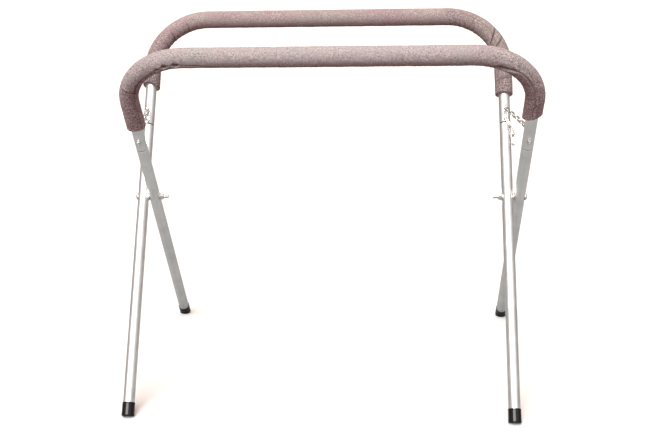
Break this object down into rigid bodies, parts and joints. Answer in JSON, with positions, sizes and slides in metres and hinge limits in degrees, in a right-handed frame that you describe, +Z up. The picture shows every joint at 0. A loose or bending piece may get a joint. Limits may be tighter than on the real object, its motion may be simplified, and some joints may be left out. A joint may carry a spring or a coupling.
{
  "type": "folding sawhorse",
  "caption": "Folding work stand: two padded U-shaped tube frames crossed on pivot bolts like scissors, held open by a chain on each side, with slip-on foot caps.",
  "frame": {"origin": "on the floor, under the middle of the open stand", "axes": "+X along the rails, +Y from the front rail to the rear rail, +Z up"},
  "size_m": [0.8984, 0.6158, 0.7992],
  "materials": {
    "pad_foam": "speckled closed-cell foam sleeve, matt",
    "tube": "bright zinc-plated steel tube, satin",
    "hardware": "bright zinc-plated bolts, nuts and washers",
    "chain": "zinc-plated welded wire chain",
    "foot_cap": "glossy black dipped vinyl"
  },
  "bodies": {
    "rear_frame": {"chain_left_spare_1": "chain", "chain_left_spare_2": "chain", "chain_right_spare_1": "chain", "chain_right_spare_2": "chain", "chain_right_spare_3": "chain", "chain_right_spare_4": "chain", "pivot_bolt_left": "hardware", "pivot_bolt_right": "hardware", "pivot_nut_left": "hardware", "pivot_nut_right": "hardware", "pivot_spacer_left": "hardware", "pivot_spacer_right": "hardware", "pivot_washer_left": "hardware", "pivot_washer_right": "hardware", "rear_eye_bolt_left": "hardware", "rear_eye_bolt_right": "hardware", "rear_eye_nut_left": "hardware", "rear_eye_nut_right": "hardware", "rear_foot_cap_left": "foot_cap", "rear_foot_cap_right": "foot_cap", "rear_leg_left": "tube", "rear_leg_right": "tube", "rear_pad_centre": "pad_foam", "rear_pad_left": "pad_foam", "rear_pad_right": "pad_foam", "rear_top_tube": "tube"},
    "front_frame": {"front_eye_bolt_left": "hardware", "front_eye_bolt_right": "hardware", "front_eye_nut_left": "hardware", "front_eye_nut_right": "hardware", "front_foot_cap_left": "foot_cap", "front_foot_cap_right": "foot_cap", "front_leg_left": "tube", "front_leg_right": "tube", "front_pad_centre": "pad_foam", "front_pad_left": "pad_foam", "front_pad_right": "pad_foam", "front_top_tube": "tube"},
    "chain_left_rear": {"chain_left_link_01": "chain", "chain_left_link_02": "chain", "chain_left_link_03": "chain", "chain_left_link_04": "chain", "chain_left_link_05": "chain"},
    "chain_left_front": {"chain_left_link_06": "chain", "chain_left_link_07": "chain", "chain_left_link_08": "chain", "chain_left_link_09": "chain"},
    "chain_right_rear": {"chain_right_link_01": "chain", "chain_right_link_02": "chain", "chain_right_link_03": "chain", "chain_right_link_04": "chain", "chain_right_link_05": "chain"},
    "chain_right_front": {"chain_right_link_06": "chain", "chain_right_link_07": "chain", "chain_right_link_08": "chain", "chain_right_link_09": "chain"}
  },
  "joints": [
    {"name": "fold", "type": "hinge", "parent": "rear_frame", "child": "front_frame", "pos_m": [0, 0, 0.41098], "axis": [-1, 0, 0], "range_deg": [0, 59], "deforming": ["chain_left_link_04", "chain_left_link_05", "chain_left_link_06", "chain_left_link_07", "chain_right_link_04", "chain_right_link_05", "chain_right_link_06", "chain_right_link_07"]},
    {"name": "chain_left_rear_swing", "type": "hinge", "parent": "rear_frame", "child": "chain_left_rear", "pos_m": [-0.42788, 0.10036, 0.59336], "axis": [0.9876, 0.1268, -0.0921], "range_deg": [0, 46.2]},
    {"name": "chain_left_front_swing", "type": "hinge", "parent": "front_frame", "child": "chain_left_front", "pos_m": [-0.40212, -0.10036, 0.59336], "axis": [-0.9876, -0.1268, -0.0921], "range_deg": [0, 46.2]},
    {"name": "chain_right_rear_swing", "type": "hinge", "parent": "rear_frame", "child": "chain_right_rear", "pos_m": [0.40212, 0.10036, 0.59336], "axis": [0.9876, 0.1268, -0.0921], "range_deg": [0, 46.2]},
    {"name": "chain_right_front_swing", "type": "hinge", "parent": "front_frame", "child": "chain_right_front", "pos_m": [0.42788, -0.10036, 0.59336], "axis": [-0.9876, -0.1268, -0.0921], "range_deg": [0, 46.2]}
  ],
  "couplings": [
    {"joint": "chain_left_rear_swing", "follows": "fold", "ratio": 0.7797},
    {"joint": "chain_left_front_swing", "follows": "fold", "ratio": 0.7797},
    {"joint": "chain_right_rear_swing", "follows": "fold", "ratio": 0.7797},
    {"joint": "chain_right_front_swing", "follows": "fold", "ratio": 0.7797}
  ]
}
